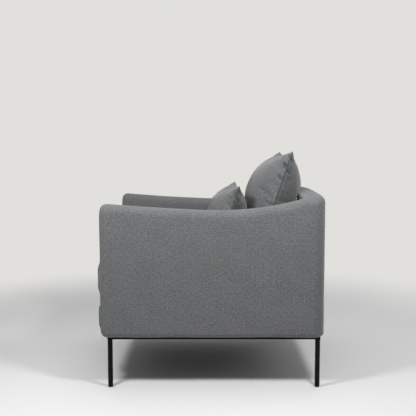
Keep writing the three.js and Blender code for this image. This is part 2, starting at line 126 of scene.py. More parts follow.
def add_node(tree, kind, inputs=None, **settings):
    """Adds a shader node with its settings, and sets or links its inputs."""
    made = tree.nodes.new("ShaderNode" + kind)
    for key, value in settings.items():
        setattr(made, key, value)
    for key, value in (inputs or {}).items():
        if isinstance(value, bpy.types.NodeSocket):
            tree.links.new(value, made.inputs[key])
        else:
            made.inputs[key].default_value = value
    return made


def new_material(name, **shader_values):
    """A material whose Principled shader has these constant socket values."""
    material = bpy.data.materials.new(name)
    material.use_nodes = True
    tree = material.node_tree
    shader = tree.nodes["Principled BSDF"]
    for key, value in shader_values.items():
        shader.inputs[key.replace("_", " ")].default_value = value
    return material, tree, shader


def blend_colours(tree, factor, first, second):
    made = add_node(tree, "Mix", {0: factor, 6: first, 7: second}, data_type="RGBA")
    return made.outputs[2]


def maths(tree, operation, first, second=0.0, third=0.0):
    made = add_node(tree, "Math", {0: first, 1: second, 2: third}, operation=operation)
    return made.outputs[0]


def own_place(tree):
    """The piece's own coordinates, in metres."""
    return add_node(tree, "TexCoord").outputs["Object"]


def even_noise(tree, place, cells, detail):
    """Noise with this many cells per metre."""
    return add_node(tree, "TexNoise", {"Vector": place, "Scale": cells, "Detail": detail}).outputs[0]


def stretched_noise(tree, place, cells, detail):
    """Noise whose cells per metre differ along each axis of place."""
    scaled = add_node(tree, "Mapping", {"Vector": place, "Scale": cells})
    return even_noise(tree, scaled.outputs[0], 1.0, detail)


def thread_waves(tree, place, repeat):
    """Sine waves along the first and the second axis of place, which cross as threads do."""
    axes = add_node(tree, "SeparateXYZ", {0: place})
    turn = 2 * math.pi / repeat
    return [maths(tree, "SINE", maths(tree, "MULTIPLY", axes.outputs[i], turn)) for i in (0, 1)]


def bump(tree, shader, height, distance, strength):
    made = add_node(tree, "Bump", {"Height": height, "Distance": distance, "Strength": strength})
    tree.links.new(made.outputs[0], shader.inputs["Normal"])


def heathered_weave(name, dark, light):
    """Polyester and viscose upholstery cloth, plain weave from heathered yarn.

    It reads as a soft mid grey, with a fine grid of threads and short darker and lighter flecks,
    and it lightens where it is seen edge on, as napped cloth does.
    The threads are really about 1 mm apart. They are drawn coarser, so that the weave shows.
    """
    material, tree, shader = new_material(
        name, Roughness=0.95, Sheen_Weight=0.3, Sheen_Roughness=0.45, Specular_IOR_Level=0.2
    )
    place = add_node(tree, "UVMap", uv_map=CLOTH_MAP).outputs[0]
    along, across, dye = 105.0, 280.0, 14.0  # flecks per metre along and across a thread, and clouds
    fleck_contrast, grid_contrast, cloud_contrast = 1.25, 0.088, 0.3
    warp = stretched_noise(tree, place, (across, along, 1.0), 1.0)
    weft = stretched_noise(tree, place, (along, across, 1.0), 1.0)
    cloud = stretched_noise(tree, place, (dye, dye, 1.0), 2.0)
    flecks = maths(tree, "ADD", warp, weft)
    even = maths(tree, "ADD", *thread_waves(tree, place, sizes().thread))
    uneven = maths(tree, "MULTIPLY_ADD", warp, 2.4, -0.5)
    grid = maths(tree, "MULTIPLY", even, uneven)
    heather = maths(tree, "MULTIPLY_ADD", flecks, fleck_contrast, -0.75)
    toned = maths(tree, "MULTIPLY_ADD", cloud, cloud_contrast, -cloud_contrast / 2)
    threads = maths(tree, "MULTIPLY_ADD", grid, grid_contrast, toned)
    amount = maths(tree, "ADD", heather, threads)
    cloth = blend_colours(tree, amount, dark, light)
    # Painted shade: the cloth's colour is darkened towards a dark grey in seams and folds, where shade
    # falls.
    seam = add_node(tree, "Attribute", attribute_name=PAINTED_SHADE).outputs["Fac"]
    shaded = blend_colours(tree, seam, cloth, linear(PAINTED_SEAM_SHADE["colour"]))
    tree.links.new(shaded, shader.inputs["Base Color"])
    height = maths(tree, "MULTIPLY_ADD", grid, 0.3, flecks)
    bump(tree, shader, height, 0.6 * MM, 0.38)
    return material


def powder_coat(name, base):
    """Mild steel under satin black powder coat, baked on.

    It gives a soft sheen and a faint orange peel.
    """
    material, tree, shader = new_material(name, Base_Color=base, Specular_IOR_Level=0.14)
    peel = even_noise(tree, own_place(tree), 900.0, 2.0)
    rough = maths(tree, "MULTIPLY_ADD", peel, 0.12, 0.32)
    tree.links.new(rough, shader.inputs["Roughness"])
    bump(tree, shader, peel, 0.05 * MM, 0.5)
    return material


def moulded_nylon(name):
    """Black polyamide, injection moulded. It gives a dull gloss with a fine spark-eroded grain."""
    material, tree, shader = new_material(name, Roughness=0.55, Base_Color=linear("#0F0F10"))
    grain = even_noise(tree, own_place(tree), 1600.0, 3.0)
    bump(tree, shader, grain, 0.06 * MM, 0.6)
    return material


def zinc_plate(name):
    """Steel with bright zinc plating, barrel plated. It gives a cool metal with small cloudy patches."""
    material, tree, shader = new_material(name, Metallic=1.0, Base_Color=linear("#B9BDC2"))
    patch = even_noise(tree, own_place(tree), 300.0, 4.0)
    rough = maths(tree, "MULTIPLY_ADD", patch, 0.3, 0.18)
    tree.links.new(rough, shader.inputs["Roughness"])
    return material


def sawn_wood(name, pale, dark, fleck, roughness):
    """Raw wood, sawn and planed. It gives long soft grain lines with short darker flecks."""
    material, tree, shader = new_material(name, Roughness=roughness)
    place = own_place(tree)
    grain = stretched_noise(tree, place, (12.0, 12.0, 160.0), 4.0)
    flecks = stretched_noise(tree, place, (fleck, fleck, fleck * 5), 2.0)
    amount = maths(tree, "MULTIPLY_ADD", flecks, 0.5, maths(tree, "MULTIPLY", grain, 0.6))
    mixed = blend_colours(tree, amount, linear(pale), linear(dark))
    tree.links.new(mixed, shader.inputs["Base Color"])
    bump(tree, shader, grain, 0.2 * MM, 0.5)
    return material


def birch_plywood(name):
    """Birch plywood with rotary-cut faces. It gives a wide pale figure with short darker flecks."""
    return sawn_wood(name, "#D9BE95", "#B8935F", 60.0, 0.6)


def beech(name):
    """Steamed beech, sawn and planed. It gives a pinkish tan with fine dark flecks."""
    return sawn_wood(name, "#D3A677", "#A87849", 220.0, 0.65)


def strap_weave(name, base_hex, edge_hex, thread):
    """Woven polyester strap with rubber warp. It gives close dark ribs across the strap."""
    material, tree, shader = new_material(name, Roughness=0.85)
    ribs = maths(tree, "MULTIPLY", *thread_waves(tree, own_place(tree), thread))
    amount = maths(tree, "MULTIPLY_ADD", ribs, 0.5, 0.5)
    mixed = blend_colours(tree, amount, linear(base_hex), linear(edge_hex))
    tree.links.new(mixed, shader.inputs["Base Color"])
    bump(tree, shader, amount, 0.3 * MM, 0.8)
    return material


def spun_bond(name):
    """Polypropylene dust cloth, spun-bonded and calendered. It gives flat black with tiny dots."""
    material, tree, shader = new_material(name, Roughness=0.9)
    place = own_place(tree)
    dots = add_node(tree, "TexVoronoi", {"Vector": place, "Scale": 420.0})
    fibres = even_noise(tree, place, 260.0, 5.0)
    mixed = blend_colours(tree, fibres, linear("#131314"), linear("#2A2A2C"))
    tree.links.new(mixed, shader.inputs["Base Color"])
    bump(tree, shader, dots.outputs[0], 0.15 * MM, 0.6)
    return material


def cut_foam(name, base_hex, cell):
    """Flexible foam or fibre, cut or carded. It gives a pale open texture of small cells."""
    material, tree, shader = new_material(name, Roughness=1.0)
    cells = add_node(tree, "TexVoronoi", {"Vector": own_place(tree), "Scale": 1 / cell}).outputs[0]
    pale = linear(base_hex)
    shade = tuple(c * 0.8 for c in pale[:3]) + (1.0,)
    tree.links.new(blend_colours(tree, cells, shade, pale), shader.inputs["Base Color"])
    bump(tree, shader, cells, 0.5 * MM, 0.7)
    return material


def painted_floor(name, base, far):
    """Studio floor, rolled with matt paint. It gives an even pale ground with no gloss.

    Further out it fades into the studio's even background, so that no edge or corner shows.
    """
    material, tree, shader = new_material(
        name, Roughness=0.9, Base_Color=base, Specular_IOR_Level=0.2
    )
    place = own_place(tree)
    bump(tree, shader, even_noise(tree, place, 35.0, 4.0), 0.2 * MM, 0.15)
    reach = add_node(tree, "VectorMath", {0: place}, operation="LENGTH").outputs["Value"]
    span = {"Value": reach, "From Min": FLOOR["fade_start"], "From Max": FLOOR["fade_end"]}
    fade = add_node(tree, "MapRange", span, interpolation_type="SMOOTHSTEP")
    backdrop = add_node(tree, "Emission", {"Color": far})
    seen = add_node(tree, "LightPath").outputs["Is Camera Ray"]
    amount = maths(tree, "MULTIPLY", fade.outputs[0], seen)
    mixed = add_node(tree, "MixShader", {0: amount})
    tree.links.new(shader.outputs[0], mixed.inputs[1])
    tree.links.new(backdrop.outputs[0], mixed.inputs[2])
    tree.links.new(mixed.outputs[0], tree.nodes["Material Output"].inputs["Surface"])
    return material


FINISHES = {}  # the materials made so far


def finish(key):
    """The material for a finish, made the first time that it is asked for."""
    yarns = (colours().yarn_dark, colours().yarn_light)
    makers = {
        "cloth": (heathered_weave, "heathered_plain_weave_cloth", *yarns),
        "steel": (powder_coat, "satin_black_powder_coated_steel", colours().steel),
        "nylon": (moulded_nylon, "moulded_black_nylon"),
        "zinc": (zinc_plate, "zinc_plated_steel"),
        "plywood": (birch_plywood, "rotary_cut_birch_plywood"),
        "beech": (beech, "planed_beech"),
        "webbing": (strap_weave, "woven_elastic_webbing", "#232527", "#3C3F42", 3 * MM),
        "zip_tape": (strap_weave, "woven_polyester_zip_tape", "#3A3C3E", "#505356", 1 * MM),
        "dust_cloth": (spun_bond, "spun_bonded_dust_cloth"),
        "foam": (cut_foam, "cut_polyurethane_foam", "#E9E2C8", 2.5 * MM),
        "fibre": (cut_foam, "carded_polyester_fibre", "#F1EFE9", 6 * MM),
        "floor": (painted_floor, "matt_studio_floor_paint", colours().floor, colours().backdrop),
    }
    if key not in FINISHES:
        make, *values = makers[key]
        FINISHES[key] = make(*values)
    return FINISHES[key]


def dress_node(node, key):
    """Gives a CAD node its finish."""
    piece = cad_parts[node]
    piece.data.materials.clear()
    piece.data.materials.append(finish(key))
    return piece


def stand_in(piece, node, body="frame"):
    """Makes a piece stand for a CAD node, which it hides, and puts the piece in the body."""
    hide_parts(node)
    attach(piece, body)


# ---------------------------------------------------------------- mesh helpers


def make_mesh(name, points, faces, cloth=None, key=None):
    """A smooth-shaded mesh object. cloth holds each face corner's place on the flat cloth."""
    data = bpy.data.meshes.new(name)
    data.from_pydata([tuple(p) for p in points], [], faces)
    data.polygons.foreach_set("use_smooth", [True] * len(data.polygons))
    if cloth is not None:
        layer = data.uv_layers.new(name=CLOTH_MAP)
        layer.data.foreach_set("uv", np.asarray(cloth, np.float32).ravel())
    if key:
        data.materials.append(finish(key))
    data.update()
    piece = bpy.data.objects.new(name, data)
    bpy.context.scene.collection.objects.link(piece)
    return piece


def vectors(collection, name):
    """One vector of each item in a mesh collection, as the rows of an array."""
    values = np.empty(len(collection) * 3)
    collection.foreach_get(name, values)
    return values.reshape(-1, 3)


def coordinates(piece):
    return vectors(piece.data.vertices, "co")


def set_coordinates(piece, co):
    piece.data.vertices.foreach_set("co", np.asarray(co, np.float32).ravel())
    piece.data.update()


def normals(piece):
    return vectors(piece.data.vertex_normals, "vector")


def wander(piece, amount, cell, seed):
    """Moves each point along its normal by smooth noise, as slack cloth over foam does."""
    co, out = coordinates(piece), normals(piece)
    shift = Vector((seed, 2 * seed, 3 * seed))
    push = np.array([noise.noise(Vector(p) / cell + shift) for p in co])
    set_coordinates(piece, co + out * (push * amount)[:, None])


def subdivide(piece, levels):
    """Applies a subdivision surface, so that the finer mesh is the piece's own."""
    modifier = piece.modifiers.new("Fine", "SUBSURF")
    modifier.levels = modifier.render_levels = levels
    apply_modifiers(piece)


def apply_modifiers(piece):
    graph = bpy.context.evaluated_depsgraph_get()
    evaluated = piece.evaluated_get(graph)
    made = bpy.data.meshes.new_from_object(evaluated, preserve_all_data_layers=True, depsgraph=graph)
    piece.modifiers.clear()
    old = piece.data
    piece.data = made
    bpy.data.meshes.remove(old)


def running_length(points):
    """Distance along a line of points to each of them."""
    steps = np.linalg.norm(np.diff(np.asarray(points), axis=0), axis=1)
    return np.concatenate([[0.0], np.cumsum(steps)])


def loft(name, rings, along, key):
    """Skins a row of equal closed rings into one closed piece, with the cloth laid along them."""
    rings = np.asarray(rings)
    count, around = rings.shape[:2]
    spans = [running_length(np.vstack([ring, ring[:1]])) for ring in rings]
    faces, cloth = [], []
    for i in range(count - 1):
        for j in range(around):
            k = (j + 1) % around
            faces.append((i * around + j, (i + 1) * around + j, (i + 1) * around + k, i * around + k))
            quad = ((i, j), (i + 1, j), (i + 1, j + 1), (i, j + 1))
            cloth += [(along[row], spans[row][place]) for row, place in quad]
    for i in (0, count - 1):
        order = list(range(around)) if i == 0 else list(range(around - 1, -1, -1))
        faces.append(tuple(i * around + j for j in order))
        flat = rings[i][order]
        cloth += list(zip(flat[:, 0] + flat[:, 1], flat[:, 2]))
    return make_mesh(name, rings.reshape(-1, 3), faces, cloth, key)


def closed_tube(count, around, start=0):
    """Faces of a tube of points, given as rows once round it, with both of its ends closed."""
    faces = []
    for i in range(count - 1):
        for j in range(around):
            a, b = (start + i * around + k for k in (j, (j + 1) % around))
            faces.append((a, b, b + around, a + around))
    end = start + (count - 1) * around
    faces.append(tuple(range(start, start + around))[::-1])
    faces.append(tuple(range(end, end + around)))
    return faces


def quarter_in(radius, distance):
    """How far a quarter-round edge has drawn in at a distance from the end."""
    if distance >= radius:
        return 0.0
    return radius - math.sqrt(radius**2 - (radius - distance) ** 2)


def arc(centre, radius, start, end, parts):
    """Points on an arc in a section, from start to end in degrees."""
    angles = [math.radians(start + (end - start) * i / parts) for i in range(parts + 1)]
    return [(centre[0] + radius * math.cos(a), centre[1] + radius * math.sin(a)) for a in angles]


def line(start, end, parts):
    """Points strictly between two section points."""
    ts = [i / parts for i in range(1, parts)]
    return [tuple(a + (b - a) * t for a, b in zip(start, end)) for t in ts]


def circle(parts):
    """Points once round a circle of radius 1."""
    turns = [2 * math.pi * k / parts for k in range(parts)]
    return [(math.cos(a), math.sin(a)) for a in turns]


def border(columns, rows):
    """The places (i, j) on the edge of a grid, once round it."""
    there = [(i, 0) for i in range(columns)] + [(columns, j) for j in range(rows)]
    return there + [(i, rows) for i in range(columns, 0, -1)] + [(0, j) for j in range(rows, 0, -1)]


def bell(far, middle, width):
    """A smooth hump, 1 at the middle and near 0 two widths away."""
    return np.exp(-(((far - middle) / width) ** 2))


# ---------------------------------------------------------------- padded shell

SIDE_LOW, SIDE_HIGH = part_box("side_pad_left")
BACK_LOW, BACK_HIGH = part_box("back_pad")
APRON_LOW, APRON_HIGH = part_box("front_apron")
HALF_WIDTH = SIDE_HIGH.x
ARM_FRONT = SIDE_LOW.y
BACK_OUTER = BACK_HIGH.y
BACK_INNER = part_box("deck_pad")[1].y + 6.3 * MM
ARM_INNER = APRON_HIGH.x + 0.3 * MM
SHELL_BOTTOM = SIDE_LOW.z
FOAM_FOOT = 300.5 * MM  # the shell's inner face steps back below this, to clear the seat frame
CORNER_RADIUS = 50 * MM
INNER_CORNER_RADIUS = 6 * MM
ARM_FOOT = 20 * MM  # rounding of the arms' lower edges
REAR_FOOT = 14 * MM  # rounding of the back's lower edge
FRONT_ROUNDING = {"side": 14 * MM, "end": 24 * MM}  # of the arms' front ends
ARM_STEP = 31 * MM  # how far it steps back along the arms, round the corners and along the back
CORNER_STEP = 26 * MM
CORNER_BACK_STEP = 25 * MM
BACK_STEP = 24.5 * MM
SEAM_STEPS = (0.6 * MM, 1.4 * MM, 2.6 * MM)  # sections set close together beside a seam
SEAM_TURN = 78.5  # degrees round the rear corner at which side and back are sewn together
RIM_Y = (BACK_OUTER + BACK_INNER) / 2
RIM_HALF_WIDTH = 323 * MM
ARM_TOP = {"front": 675 * MM, "dip": 650 * MM, "dip_y": 20 * MM, "corner": SIDE_HIGH.z}


def arm_top(y):
    """Height of the shell's top edge at y along an arm: down to a dip, then up to the back."""
    front, dip, dip_y, corner = ARM_TOP.values()
    if y < dip_y:
        return dip + (front - dip) * ((dip_y - y) / (dip_y - ARM_FRONT)) ** 1.4
    return dip + (corner - dip) * min(1.0, (y - dip_y) / (RIM_Y - dip_y)) ** 2.3


def rim_top(x):
    """Height of the back's top edge at x across the chair."""
    crown = BACK_HIGH.z - ARM_TOP["corner"]
    return ARM_TOP["corner"] + crown * max(0.0, 1 - (x / RIM_HALF_WIDTH) ** 2)


def shell_ring(outer, inner, top, step, foot=ARM_FOOT, end_distance=1.0, seam_distance=1.0):
    """One closed upright section of the shell, from its outer to its inner plan point."""
    outer, inner = Vector(outer), Vector(inner)
    across = inner - outer
    seam = quarter_in(sizes().seam_depth_and_painted_shade, seam_distance)
    side = quarter_in(FRONT_ROUNDING["side"], end_distance) + seam
    end = quarter_in(FRONT_ROUNDING["end"], end_distance)
    wide = across.length - 2 * side
    across.normalize()
    low, high = SHELL_BOTTOM + end, top - end - seam
    crown = min(sizes().edge_radius, wide / 2 - 1 * MM)
    section = arc((foot, low + foot), foot, 270, 180, 8)
    section += line(section[-1], (0, high - crown), 26)
    section += arc((crown, high - crown), crown, 180, 90, 9)
    section += arc((wide - crown, high - crown), crown, 90, 0, 9)
    section += line(section[-1], (wide, FOAM_FOOT), 20)
    section += [(wide, FOAM_FOOT), (wide - step, FOAM_FOOT - 0.1 * MM), (wide - step, low)]
    return [(*(outer + across * (q + side)), z) for q, z in section]


def corner_station(turn):
    """Outer and inner plan points and top of the shell at an angle round the rear left corner."""
    a = math.radians(turn)
    r, inner_r = CORNER_RADIUS, INNER_CORNER_RADIUS
    outer = (HALF_WIDTH - r + r * math.cos(a), BACK_OUTER - r + r * math.sin(a))
    inner = (ARM_INNER - inner_r + inner_r * math.cos(a), BACK_INNER - inner_r + inner_r * math.sin(a))
    return outer, inner, arm_top((outer[1] + inner[1]) / 2)


def side_rings():
    """Sections of the left side, from the arm's front end to the seam at the rear corner."""
    rings = []
    front_steps = [0, 0.6, 1.6, 3.2, 5.4, 8.2, 11.5, 14.5, 15.2, 19, 24]
    ys = [ARM_FRONT + d * MM for d in front_steps]
    ys += list(np.linspace(ARM_FRONT + 34 * MM, BACK_INNER - 14 * MM, 54))
    for y in ys:
        end = y - ARM_FRONT
        step = ARM_STEP if end > 15 * MM else 0.2 * MM  # the arm's end stands ahead of the frame
        ring = shell_ring((HALF_WIDTH, y), (ARM_INNER, y), arm_top(y), step, end_distance=end)
        rings.append(ring)
    for turn in np.linspace(0, SEAM_TURN, 17):
        gap = math.radians(SEAM_TURN - turn) * CORNER_RADIUS
        foot = ARM_FOOT + (REAR_FOOT - ARM_FOOT) * min(1.0, turn / 40)
        rings.append(shell_ring(*corner_station(turn), CORNER_STEP, foot, seam_distance=gap))
    for gap in reversed(SEAM_STEPS):
        turn = SEAM_TURN - math.degrees(gap / CORNER_RADIUS)
        ring = shell_ring(*corner_station(turn), CORNER_STEP, REAR_FOOT, seam_distance=gap)
        rings.insert(-1, ring)
    return rings


def back_rings():
    """Sections of the back, from the seam at the left rear corner to the middle, then mirrored."""
    rings = []
    for gap in (0.0, *SEAM_STEPS, 4.2 * MM, 6 * MM):
        turn = SEAM_TURN + math.degrees(gap / CORNER_RADIUS)
        ring = shell_ring(*corner_station(turn), CORNER_BACK_STEP, REAR_FOOT, seam_distance=gap)
        rings.append(ring)
    rings.append(shell_ring(*corner_station(90), BACK_STEP, REAR_FOOT))
    start_outer, start_inner = HALF_WIDTH - CORNER_RADIUS, ARM_INNER - INNER_CORNER_RADIUS
    for t in np.linspace(0, 1, 26)[1:]:
        outer, inner = (start_outer * (1 - t), BACK_OUTER), (start_inner * (1 - t), BACK_INNER)
        rings.append(shell_ring(outer, inner, rim_top(outer[0]), BACK_STEP, REAR_FOOT))
    return np.concatenate([rings, mirror_rings(rings[:-1])])


def mirror_rings(rings):
    """The same sections on the chair's other side, in the order that keeps faces outwards."""
    return np.asarray(rings)[::-1] * np.array([-1, 1, 1])


def paint_seam_shade(piece, seam):
    """Paints shade into the cloth beside a line of points where two panels are sewn together."""
    far, _ = nearest_on_loop(coordinates(piece), seam)
    paint_shade(piece, painted_seam_shade(far))


def build_shell():
    """The padded arms and back, sewn together at the rear corners."""
    left = np.array(side_rings())
    upright = 20  # a point of each section, on its outer face
    along = running_length(left[:, upright])
    for name, side in SIDES.items():
        rings = left if side > 0 else mirror_rings(left)
        spans = along if side > 0 else along[-1] - along[::-1]
        piece = loft(f"padded_side_{name}", rings, spans, "cloth")
        paint_seam_shade(piece, rings[-1] if side > 0 else rings[0])
        wander(piece, sizes().slack, 0.16, 3.0 + side)
        stand_in(piece, f"side_pad_{name}")
    back = back_rings()
    piece = loft("padded_back", back, running_length(back[:, upright]), "cloth")
    for corner_seam in (back[0], back[-1]):
        paint_seam_shade(piece, corner_seam)
    wander(piece, sizes().slack, 0.18, 9.0)
    stand_in(piece, "back_pad")


def build_apron():
    """The padded front rail, bulging a little ahead of the arms."""
    low, high = APRON_LOW, APRON_HIGH
    rear, front = high.y, low.y + 2 * MM
    foot, shoulder, bulge = 30 * MM, 12 * MM, 2.5 * MM
    section = [(rear, low.z), *line((rear, low.z), (front + foot, low.z), 4)]
    section += arc((front + foot, low.z + foot), foot, 270, 180, 8)
    section += line((front, low.z + foot), (front, high.z - shoulder), 8)
    section += arc((front + shoulder, high.z - shoulder), shoulder, 180, 90, 7)
    section += [*line((front + shoulder, high.z), (rear, high.z), 4), (rear, high.z)]
    middle, half = (low.z + high.z) / 2, (high.z - low.z) / 2
    section = [
        (y - (bulge * (1 - ((z - middle) / half) ** 2) if y < front + foot / 2 else 0), z)
        for y, z in section
    ]
    rings, edge = [], 5 * MM
    ends = [0, 0.4 * MM, 1.4 * MM, 3 * MM, edge]
    inner = list(np.linspace(-high.x + edge, high.x - edge, 41)[1:-1])
    xs = [-high.x + e for e in ends] + inner + [high.x - e for e in reversed(ends)]
    for x in xs:
        pull = quarter_in(edge, high.x - abs(x))
        ring = []
        for y, z in section:
            inward = pull if y < rear - 5 * MM else 0.0
            squeeze = (middle - z) / half * inward
            ring.append((x, y + inward, z + squeeze))
        rings.append(ring[::-1])
    along = [x + high.x for x in xs]
    piece = loft("front_apron_cover", rings, along, "cloth")
    wander(piece, sizes().slack * 0.8, 0.09, 5.0)
    stand_in(piece, "front_apron")


def layered_panel(name, low, high, top, bottom, key):
    """A thin closed panel between two heights given at each x, y and distance from its edge."""
    columns, rows = 36, 44
    points, faces, cloth = [], [], []
    for layer in (bottom, top):
        for j in range(rows + 1):
            for i in range(columns + 1):
                x = low.x + (high.x - low.x) * i / columns
                y = low.y + (high.y - low.y) * j / rows
                edge = min(x - low.x, high.x - x, y - low.y, high.y - y)
                points.append((x, y, layer(x, y, max(0.0, edge))))
    size = (columns + 1) * (rows + 1)
    for j in range(rows):
        for i in range(columns):
            a = j * (columns + 1) + i
            quad = (a, a + 1, a + columns + 2, a + columns + 1)
            faces.append(tuple(size + k for k in quad))
            faces.append(tuple(reversed(quad)))
    around = [j * (columns + 1) + i for i, j in border(columns, rows)]
    for a, b in zip(around, around[1:] + around[:1]):
        faces.append((a, b, b + size, a + size))
    for face in faces:
        cloth += [(points[k][0], points[k][1] + points[k][2]) for k in face]
    return make_mesh(name, points, faces, cloth, key)


def build_deck():
    """The flat pad under the seat cushion, with its edges pulled down."""
    low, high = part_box("deck_pad")
    pressed, edge_radius = 1.5 * MM, 8 * MM

    def top(x, y, edge):
        return high.z - pressed - quarter_in(edge_radius, edge)

    piece = layered_panel("deck_cover", low, high, top, lambda x, y, edge: low.z, "cloth")
    stand_in(piece, "deck_pad")


def build_dust_cloth():
    """The black cloth stapled under the seat frame. It hangs a little in the middle."""
    low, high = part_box("dust_cover")
    wide, long = high.x - low.x, high.y - low.y
    sag, wave, wave_cell, thick = 1.6 * MM, 0.5 * MM, 90 * MM, 0.4 * MM

    def hang(x, y, edge):
        u, v = 2 * (x - low.x) / wide - 1, 2 * (y - low.y) / long - 1
        drop = sag + noise.noise((x / wave_cell, y / wave_cell, 1.0)) * wave
        return low.z + 0.5 * MM - drop * (1 - u**4) * (1 - v**4)

    def top(x, y, edge):
        return hang(x, y, edge) + thick

    piece = layered_panel("dust_cloth", low, high, top, hang, "dust_cloth")
    stand_in(piece, "dust_cover")
    build_staples(low, high)


def build_staples(low, high):
    """Staples round the dust cloth's edge, each a bent wire with its crown against the cloth."""
    inset, spacing, half, thick = 12 * MM, 42 * MM, 5 * MM, 0.55 * MM
    bend, legs, crown = 0.86, 0.5 * MM, -0.6 * MM  # where the wire bends, and its two heights
    skew, flatness = 12, 0.6  # degrees off the edge, and the wire's height for its width
    a, b = low.xy + Vector((inset, inset)), high.xy - Vector((inset, inset))
    spots = []
    for x in np.arange(a.x + spacing / 2, b.x, spacing):
        spots += [(x, a.y, 0.0), (x, b.y, 0.0)]
    for y in np.arange(a.y + spacing / 2, b.y, spacing):
        spots += [(a.x, y, 90.0), (b.x, y, 90.0)]
    points, faces = [], []
    for x, y, turn in spots:
        c, s = math.cos(math.radians(turn + skew)), math.sin(math.radians(turn + skew))
        z = low.z + 0.2 * MM
        start = len(points)
        for t in (-1, -bend, bend, 1):
            lift = legs if abs(t) == 1 else crown
            for p, q in ((-1, -1), (1, -1), (1, 1), (-1, 1)):
                u, v = t * half, p * thick
                points.append((x + u * c - v * s, y + u * s + v * c, z + lift + q * thick * flatness))
        faces += closed_tube(4, 4, start)
    piece = make_mesh("dust_cloth_staples", points, faces, None, "zinc")
    fix_normals(piece)
    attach(piece, "frame")


def fix_normals(piece):
    """Turns every face of a piece outwards."""
    mesh = bmesh.new()
    mesh.from_mesh(piece.data)
    bmesh.ops.recalc_face_normals(mesh, faces=mesh.faces)
    mesh.to_mesh(piece.data)
    mesh.free()


# ---------------------------------------------------------------- cloth simulation


COVER_CLOTH = {
    "quality": 7,
    "mass": 0.25,
    "air_damping": 6.0,
    "tension_stiffness": 16.0,
    "compression_stiffness": 16.0,
    "shear_stiffness": 16.0 / 3,
    "bending_stiffness": 0.3,
    "tension_damping": 12.0,
    "compression_damping": 12.0,
    "use_pressure": True,
    "vertex_group_mass": "seam",  # the seam holds its line, and the panels swell between
    "shrink_min": -0.025,  # the panels are cut this much larger than the shape they start from
}


def blow_up(piece, pressure, frames, cap):
    """Fills a sewn cover with Blender's Cloth, and keeps the shape that it comes to.

    No point moves further than cap.
    """
    rest = coordinates(piece)
    modifier = piece.modifiers.new("Filling", "CLOTH")
    for name, value in COVER_CLOTH.items():
        setattr(modifier.settings, name, value)
    modifier.settings.uniform_pressure_force = pressure
    modifier.settings.effector_weights.gravity = 0.0
    modifier.point_cache.frame_start = 1
    modifier.point_cache.frame_end = frames
    for number in range(1, frames + 1):
        bpy.context.scene.frame_set(number)
    co = coordinates(piece.evaluated_get(bpy.context.evaluated_depsgraph_get()))
    piece.modifiers.remove(modifier)
    bpy.context.scene.frame_set(1)
    move = co - rest
    far = np.linalg.norm(move, axis=1, keepdims=True)
    set_coordinates(piece, rest + move * np.minimum(1.0, cap / np.maximum(far, 1e-9)))


def hold_by_seam(piece, seam):
    """Names the points that the cloth simulation holds still."""
    group = piece.vertex_groups.new(name=COVER_CLOTH["vertex_group_mass"])
    group.add(seam, 1.0, "REPLACE")


# ---------------------------------------------------------------- loose cushions

LOOSE = {
    "back_cushion": {
        "half_width": 232 * MM, "half_height": 209 * MM, "front": 99 * MM, "rear": 102 * MM,
        "dip": 16 * MM, "lean": 18.0, "y": 252.3 * MM, "z": 665.2 * MM, "fill": 0.75, "seed": 2.0,
        "low_front": 0.8, "low_rear": 1.0,
    },
    "lumbar_pillow": {
        "half_width": 221 * MM, "half_height": 139 * MM, "front": 74 * MM, "rear": 72 * MM,
        "dip": 9 * MM, "lean": 18.7, "y": 74.5 * MM, "z": 601.5 * MM, "fill": 0.8, "seed": 6.0,
        "low_front": 1.0, "low_rear": 1.1,
    },
}


def ease(t):
    """A smooth step from 0 to 1."""
    t = min(1.0, max(0.0, t))
    return t * t * (3 - 2 * t)


def fullness(t):
    """How thick a knife-edge cushion is from its middle (0) to its seam (1 or -1)."""
    return 1 - abs(t) ** 2.6


def knife_edge_cover(name, size):
    """Two panels sewn together along their edges, crowned, with sides that draw in between corners.

    Returns the piece, and the point numbers of its seam in order round the edge.
    """
    width, height, dip = size["half_width"], size["half_height"], size["dip"]
    cell, stretch, panels_apart = 9 * MM, 1.08, 0.7  # of the grid, and of the flat cloth
    draw_power = 2.2  # how evenly the sides draw in between the corners
    columns, rows = round(2 * width / cell), round(2 * height / cell)
    number, points = {}, []

    def point(layer, i, j):
        edge = i in (0, columns) or j in (0, rows)
        key = (0 if edge else layer, i, j)
        if key not in number:
            u, v = 2 * i / columns - 1, 2 * j / rows - 1
            thick = size["rear"] if layer else -size["front"]
            low_part = ease((0.12 - v) / 0.6)
            thick *= 1 + (size["low_rear" if layer else "low_front"] - 1) * low_part
            swell = (fullness(u) * fullness(v)) ** (0.8 - 0.2 * (u * v) ** 2)
            x = u * (width - dip * (1 - abs(v) ** draw_power))
            z = v * (height - dip * (1 - abs(u) ** draw_power))
            number[key] = len(points)
            points.append((x, 0.0 if edge else thick * swell, z))
        return number[key]

    faces, cloth = [], []
    for layer in (0, 1):
        for j in range(rows):
            for i in range(columns):
                corners = [(i, j), (i + 1, j), (i + 1, j + 1), (i, j + 1)]
                if layer:
                    corners.reverse()
                faces.append(tuple(point(layer, *c) for c in corners))
                cloth += [
                    (a * cell * stretch + layer * panels_apart, b * cell * stretch) for a, b in corners
                ]
    piece = make_mesh(name, points, faces, cloth, "cloth")
    seam = [point(0, *there) for there in border(columns, rows)]
    hold_by_seam(piece, seam)
    return piece, seam


def lean_matrix(size):
    """Where a loose cushion stands: leaning back about X, at its middle."""
    turn = Matrix.Rotation(-math.radians(size["lean"]), 4, "X")
    return Matrix.Translation((0, size["y"], size["z"])) @ turn


